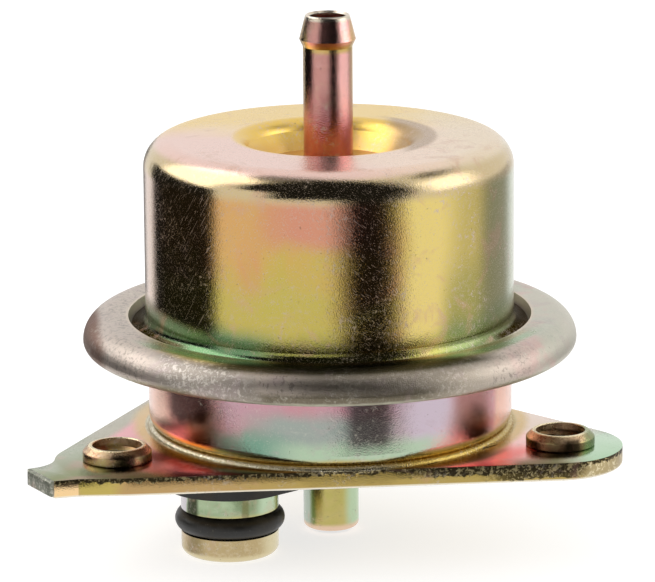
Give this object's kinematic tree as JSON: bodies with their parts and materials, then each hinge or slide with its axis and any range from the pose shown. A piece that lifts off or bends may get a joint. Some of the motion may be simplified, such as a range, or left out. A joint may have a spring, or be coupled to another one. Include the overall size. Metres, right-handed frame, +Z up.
{
  "type": "fuel pressure regulator",
  "caption": "Fuel pressure regulator with a crimped housing on a triangular plate with threaded bushes, a vacuum nipple, an inlet spigot with a seal ring, a return tube and a sprung valve.",
  "frame": {"origin": "on the housing's axis, at the underside of the mounting plate", "axes": "+Z up along the housing's axis to the vacuum nipple, +X along the plate's straight front edge, +Y to the back"},
  "size_m": [0.0724, 0.0654, 0.0652],
  "materials": {
    "zinc_gold": "glossy yellow zinc plating on steel",
    "zinc_rose": "glossy iridescent zinc plating on steel, rose to grey",
    "zinc_mint": "glossy iridescent zinc plating on steel, mint to gold",
    "seal_rubber": "smooth black rubber",
    "plain_steel": "plain turned and pressed steel",
    "spring_wire": "drawn spring steel"
  },
  "bodies": {
    "housing": {"upper_housing": "zinc_gold", "vacuum_nipple": "zinc_rose", "lower_housing": "zinc_rose", "base_plate": "zinc_gold", "threaded_bushes": "zinc_gold", "inlet_spigot": "zinc_mint", "inlet_o_ring": "seal_rubber", "port_gasket": "seal_rubber", "return_tube": "zinc_mint", "valve_seat": "plain_steel", "diaphragm": "seal_rubber", "main_spring": "spring_wire"},
    "valve": {"spring_plate": "plain_steel", "diaphragm_washer": "plain_steel", "valve_holder": "plain_steel", "valve_ball": "plain_steel", "ball_retainer": "spring_wire", "valve_plate": "plain_steel"}
  },
  "joints": [
    {"name": "valve_lift", "type": "slide", "parent": "housing", "child": "valve", "axis": [0, 0, 1], "range_m": [0, 0.001], "stiffness_N_per_m": 1500, "springref_m": -0.002, "deforming": ["main_spring", "diaphragm"]}
  ]
}
